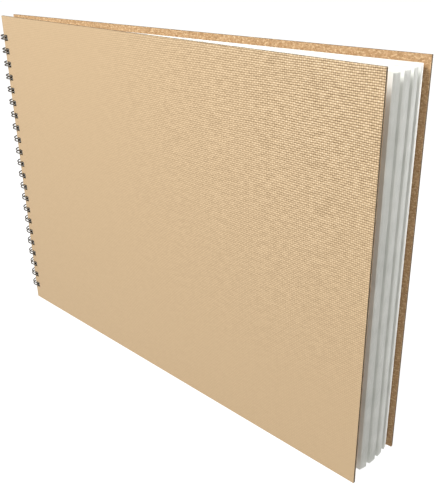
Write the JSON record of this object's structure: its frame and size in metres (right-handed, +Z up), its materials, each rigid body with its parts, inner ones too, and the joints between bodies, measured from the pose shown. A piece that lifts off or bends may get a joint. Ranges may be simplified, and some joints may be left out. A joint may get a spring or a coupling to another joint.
{
  "type": "wire-bound sketchbook",
  "caption": "Landscape wire-bound sketchbook with stiff kraft covers and loose white drawing leaves, standing upright with its front cover a little open.",
  "frame": {"origin": "on the floor, in the middle of the standing book's bounding box", "axes": "+Z up along the spine, +X from the spine to the fore edge along the back cover, +Y from the front cover to the back cover"},
  "size_m": [0.4406, 0.0584, 0.303],
  "materials": {
    "kraft_embossed": "linen-embossed kraft",
    "kraft_plain": "smooth speckled kraft",
    "greyboard": "raw cut greyboard",
    "cartridge_paper": "uncoated cartridge",
    "black_wire": "nylon-coated black"
  },
  "bodies": {
    "back_cover": {"back_cover_board": "greyboard", "back_cover_facing": "kraft_embossed", "back_cover_liner": "kraft_plain"},
    "front_cover": {"front_cover_board": "greyboard", "front_cover_facing": "kraft_embossed", "front_cover_liner": "kraft_plain"},
    "binding_wire": {"binding_wire": "black_wire"},
    "leaf_01": {"leaf_01": "cartridge_paper"},
    "leaf_02": {"leaf_02": "cartridge_paper"},
    "leaf_03": {"leaf_03": "cartridge_paper"},
    "leaf_04": {"leaf_04": "cartridge_paper"},
    "leaf_05": {"leaf_05": "cartridge_paper"},
    "leaf_06": {"leaf_06": "cartridge_paper"},
    "leaf_07": {"leaf_07": "cartridge_paper"},
    "leaf_08": {"leaf_08": "cartridge_paper"},
    "leaf_09": {"leaf_09": "cartridge_paper"},
    "leaf_10": {"leaf_10": "cartridge_paper"},
    "leaf_11": {"leaf_11": "cartridge_paper"},
    "leaf_12": {"leaf_12": "cartridge_paper"},
    "leaf_13": {"leaf_13": "cartridge_paper"},
    "leaf_14": {"leaf_14": "cartridge_paper"},
    "leaf_15": {"leaf_15": "cartridge_paper"},
    "leaf_16": {"leaf_16": "cartridge_paper"},
    "leaf_17": {"leaf_17": "cartridge_paper"},
    "leaf_18": {"leaf_18": "cartridge_paper"},
    "leaf_19": {"leaf_19": "cartridge_paper"},
    "leaf_20": {"leaf_20": "cartridge_paper"},
    "leaf_21": {"leaf_21": "cartridge_paper"},
    "leaf_22": {"leaf_22": "cartridge_paper"},
    "leaf_23": {"leaf_23": "cartridge_paper"},
    "leaf_24": {"leaf_24": "cartridge_paper"},
    "leaf_25": {"leaf_25": "cartridge_paper"},
    "leaf_26": {"leaf_26": "cartridge_paper"},
    "leaf_27": {"leaf_27": "cartridge_paper"},
    "leaf_28": {"leaf_28": "cartridge_paper"},
    "leaf_29": {"leaf_29": "cartridge_paper"},
    "leaf_30": {"leaf_30": "cartridge_paper"},
    "leaf_31": {"leaf_31": "cartridge_paper"},
    "leaf_32": {"leaf_32": "cartridge_paper"},
    "leaf_33": {"leaf_33": "cartridge_paper"},
    "leaf_34": {"leaf_34": "cartridge_paper"},
    "leaf_35": {"leaf_35": "cartridge_paper"}
  },
  "joints": [
    {"name": "front_cover_turn", "type": "hinge", "parent": "back_cover", "child": "front_cover", "pos_m": [-0.21091, 0.01968, 0], "axis": [0, 0, -1], "range_deg": [-5.5, 174.5]},
    {"name": "binding_wire_turn", "type": "hinge", "parent": "back_cover", "child": "binding_wire", "pos_m": [-0.21091, 0.01968, 0], "axis": [0, 0, -1], "range_deg": [-12, 12]},
    {"name": "leaf_01_turn", "type": "hinge", "parent": "back_cover", "child": "leaf_01", "pos_m": [-0.21091, 0.01968, 0], "axis": [0, 0, -1], "range_deg": [-3.85, 122.15]},
    {"name": "leaf_02_turn", "type": "hinge", "parent": "back_cover", "child": "leaf_02", "pos_m": [-0.21091, 0.01968, 0], "axis": [0, 0, -1], "range_deg": [-3.79, 120.11]},
    {"name": "leaf_03_turn", "type": "hinge", "parent": "back_cover", "child": "leaf_03", "pos_m": [-0.21091, 0.01968, 0], "axis": [0, 0, -1], "range_deg": [-3.72, 118.06]},
    {"name": "leaf_04_turn", "type": "hinge", "parent": "back_cover", "child": "leaf_04", "pos_m": [-0.21091, 0.01968, 0], "axis": [0, 0, -1], "range_deg": [-3.66, 116.02]},
    {"name": "leaf_05_turn", "type": "hinge", "parent": "back_cover", "child": "leaf_05", "pos_m": [-0.21091, 0.01968, 0], "axis": [0, 0, -1], "range_deg": [-3.59, 113.98]},
    {"name": "leaf_06_turn", "type": "hinge", "parent": "back_cover", "child": "leaf_06", "pos_m": [-0.21091, 0.01968, 0], "axis": [0, 0, -1], "range_deg": [-3.53, 111.93]},
    {"name": "leaf_07_turn", "type": "hinge", "parent": "back_cover", "child": "leaf_07", "pos_m": [-0.21091, 0.01968, 0], "axis": [0, 0, -1], "range_deg": [-3.46, 109.89]},
    {"name": "leaf_08_turn", "type": "hinge", "parent": "back_cover", "child": "leaf_08", "pos_m": [-0.21091, 0.01968, 0], "axis": [0, 0, -1], "range_deg": [-3.4, 107.84]},
    {"name": "leaf_09_turn", "type": "hinge", "parent": "back_cover", "child": "leaf_09", "pos_m": [-0.21091, 0.01968, 0], "axis": [0, 0, -1], "range_deg": [-2.85, 90.36]},
    {"name": "leaf_10_turn", "type": "hinge", "parent": "back_cover", "child": "leaf_10", "pos_m": [-0.21091, 0.01968, 0], "axis": [0, 0, -1], "range_deg": [-2.78, 88.32]},
    {"name": "leaf_11_turn", "type": "hinge", "parent": "back_cover", "child": "leaf_11", "pos_m": [-0.21091, 0.01968, 0], "axis": [0, 0, -1], "range_deg": [-2.72, 86.27]},
    {"name": "leaf_12_turn", "type": "hinge", "parent": "back_cover", "child": "leaf_12", "pos_m": [-0.21091, 0.01968, 0], "axis": [0, 0, -1], "range_deg": [-2.65, 84.23]},
    {"name": "leaf_13_turn", "type": "hinge", "parent": "back_cover", "child": "leaf_13", "pos_m": [-0.21091, 0.01968, 0], "axis": [0, 0, -1], "range_deg": [-2.59, 82.19]},
    {"name": "leaf_14_turn", "type": "hinge", "parent": "back_cover", "child": "leaf_14", "pos_m": [-0.21091, 0.01968, 0], "axis": [0, 0, -1], "range_deg": [-2.53, 80.14]},
    {"name": "leaf_15_turn", "type": "hinge", "parent": "back_cover", "child": "leaf_15", "pos_m": [-0.21091, 0.01968, 0], "axis": [0, 0, -1], "range_deg": [-2.46, 78.1]},
    {"name": "leaf_16_turn", "type": "hinge", "parent": "back_cover", "child": "leaf_16", "pos_m": [-0.21091, 0.01968, 0], "axis": [0, 0, -1], "range_deg": [-2.4, 76.06]},
    {"name": "leaf_17_turn", "type": "hinge", "parent": "back_cover", "child": "leaf_17", "pos_m": [-0.21091, 0.01968, 0], "axis": [0, 0, -1], "range_deg": [-2.33, 74.01]},
    {"name": "leaf_18_turn", "type": "hinge", "parent": "back_cover", "child": "leaf_18", "pos_m": [-0.21091, 0.01968, 0], "axis": [0, 0, -1], "range_deg": [-1.78, 56.53]},
    {"name": "leaf_19_turn", "type": "hinge", "parent": "back_cover", "child": "leaf_19", "pos_m": [-0.21091, 0.01968, 0], "axis": [0, 0, -1], "range_deg": [-1.72, 54.48]},
    {"name": "leaf_20_turn", "type": "hinge", "parent": "back_cover", "child": "leaf_20", "pos_m": [-0.21091, 0.01968, 0], "axis": [0, 0, -1], "range_deg": [-1.65, 52.44]},
    {"name": "leaf_21_turn", "type": "hinge", "parent": "back_cover", "child": "leaf_21", "pos_m": [-0.21091, 0.01968, 0], "axis": [0, 0, -1], "range_deg": [-1.59, 50.4]},
    {"name": "leaf_22_turn", "type": "hinge", "parent": "back_cover", "child": "leaf_22", "pos_m": [-0.21091, 0.01968, 0], "axis": [0, 0, -1], "range_deg": [-1.52, 48.35]},
    {"name": "leaf_23_turn", "type": "hinge", "parent": "back_cover", "child": "leaf_23", "pos_m": [-0.21091, 0.01968, 0], "axis": [0, 0, -1], "range_deg": [-1.46, 46.31]},
    {"name": "leaf_24_turn", "type": "hinge", "parent": "back_cover", "child": "leaf_24", "pos_m": [-0.21091, 0.01968, 0], "axis": [0, 0, -1], "range_deg": [-1.4, 44.27]},
    {"name": "leaf_25_turn", "type": "hinge", "parent": "back_cover", "child": "leaf_25", "pos_m": [-0.21091, 0.01968, 0], "axis": [0, 0, -1], "range_deg": [-1.33, 42.22]},
    {"name": "leaf_26_turn", "type": "hinge", "parent": "back_cover", "child": "leaf_26", "pos_m": [-0.21091, 0.01968, 0], "axis": [0, 0, -1], "range_deg": [-1.27, 40.18]},
    {"name": "leaf_27_turn", "type": "hinge", "parent": "back_cover", "child": "leaf_27", "pos_m": [-0.21091, 0.01968, 0], "axis": [0, 0, -1], "range_deg": [-0.72, 22.69]},
    {"name": "leaf_28_turn", "type": "hinge", "parent": "back_cover", "child": "leaf_28", "pos_m": [-0.21091, 0.01968, 0], "axis": [0, 0, -1], "range_deg": [-0.65, 20.65]},
    {"name": "leaf_29_turn", "type": "hinge", "parent": "back_cover", "child": "leaf_29", "pos_m": [-0.21091, 0.01968, 0], "axis": [0, 0, -1], "range_deg": [-0.59, 18.61]},
    {"name": "leaf_30_turn", "type": "hinge", "parent": "back_cover", "child": "leaf_30", "pos_m": [-0.21091, 0.01968, 0], "axis": [0, 0, -1], "range_deg": [-0.52, 16.56]},
    {"name": "leaf_31_turn", "type": "hinge", "parent": "back_cover", "child": "leaf_31", "pos_m": [-0.21091, 0.01968, 0], "axis": [0, 0, -1], "range_deg": [-0.46, 14.52]},
    {"name": "leaf_32_turn", "type": "hinge", "parent": "back_cover", "child": "leaf_32", "pos_m": [-0.21091, 0.01968, 0], "axis": [0, 0, -1], "range_deg": [-0.39, 12.48]},
    {"name": "leaf_33_turn", "type": "hinge", "parent": "back_cover", "child": "leaf_33", "pos_m": [-0.21091, 0.01968, 0], "axis": [0, 0, -1], "range_deg": [-0.33, 10.43]},
    {"name": "leaf_34_turn", "type": "hinge", "parent": "back_cover", "child": "leaf_34", "pos_m": [-0.21091, 0.01968, 0], "axis": [0, 0, -1], "range_deg": [-0.26, 8.39]},
    {"name": "leaf_35_turn", "type": "hinge", "parent": "back_cover", "child": "leaf_35", "pos_m": [-0.21091, 0.01968, 0], "axis": [0, 0, -1], "range_deg": [-0.2, 6.35]}
  ],
  "couplings": [
    {"joint": "leaf_01_turn", "follows": "front_cover_turn", "ratio": 0.7},
    {"joint": "leaf_02_turn", "follows": "front_cover_turn", "ratio": 0.68829},
    {"joint": "leaf_03_turn", "follows": "front_cover_turn", "ratio": 0.67658},
    {"joint": "leaf_04_turn", "follows": "front_cover_turn", "ratio": 0.66487},
    {"joint": "leaf_05_turn", "follows": "front_cover_turn", "ratio": 0.65316},
    {"joint": "leaf_06_turn", "follows": "front_cover_turn", "ratio": 0.64144},
    {"joint": "leaf_07_turn", "follows": "front_cover_turn", "ratio": 0.62973},
    {"joint": "leaf_08_turn", "follows": "front_cover_turn", "ratio": 0.61802},
    {"joint": "leaf_09_turn", "follows": "front_cover_turn", "ratio": 0.51783},
    {"joint": "leaf_10_turn", "follows": "front_cover_turn", "ratio": 0.50611},
    {"joint": "leaf_11_turn", "follows": "front_cover_turn", "ratio": 0.4944},
    {"joint": "leaf_12_turn", "follows": "front_cover_turn", "ratio": 0.48269},
    {"joint": "leaf_13_turn", "follows": "front_cover_turn", "ratio": 0.47098},
    {"joint": "leaf_14_turn", "follows": "front_cover_turn", "ratio": 0.45927},
    {"joint": "leaf_15_turn", "follows": "front_cover_turn", "ratio": 0.44756},
    {"joint": "leaf_16_turn", "follows": "front_cover_turn", "ratio": 0.43585},
    {"joint": "leaf_17_turn", "follows": "front_cover_turn", "ratio": 0.42414},
    {"joint": "leaf_18_turn", "follows": "front_cover_turn", "ratio": 0.32394},
    {"joint": "leaf_19_turn", "follows": "front_cover_turn", "ratio": 0.31223},
    {"joint": "leaf_20_turn", "follows": "front_cover_turn", "ratio": 0.30052},
    {"joint": "leaf_21_turn", "follows": "front_cover_turn", "ratio": 0.28881},
    {"joint": "leaf_22_turn", "follows": "front_cover_turn", "ratio": 0.27709},
    {"joint": "leaf_23_turn", "follows": "front_cover_turn", "ratio": 0.26538},
    {"joint": "leaf_24_turn", "follows": "front_cover_turn", "ratio": 0.25367},
    {"joint": "leaf_25_turn", "follows": "front_cover_turn", "ratio": 0.24196},
    {"joint": "leaf_26_turn", "follows": "front_cover_turn", "ratio": 0.23025},
    {"joint": "leaf_27_turn", "follows": "front_cover_turn", "ratio": 0.13005},
    {"joint": "leaf_28_turn", "follows": "front_cover_turn", "ratio": 0.11834},
    {"joint": "leaf_29_turn", "follows": "front_cover_turn", "ratio": 0.10663},
    {"joint": "leaf_30_turn", "follows": "front_cover_turn", "ratio": 0.09492},
    {"joint": "leaf_31_turn", "follows": "front_cover_turn", "ratio": 0.083209},
    {"joint": "leaf_32_turn", "follows": "front_cover_turn", "ratio": 0.071497},
    {"joint": "leaf_33_turn", "follows": "front_cover_turn", "ratio": 0.059786},
    {"joint": "leaf_34_turn", "follows": "front_cover_turn", "ratio": 0.048075},
    {"joint": "leaf_35_turn", "follows": "front_cover_turn", "ratio": 0.036364}
  ]
}
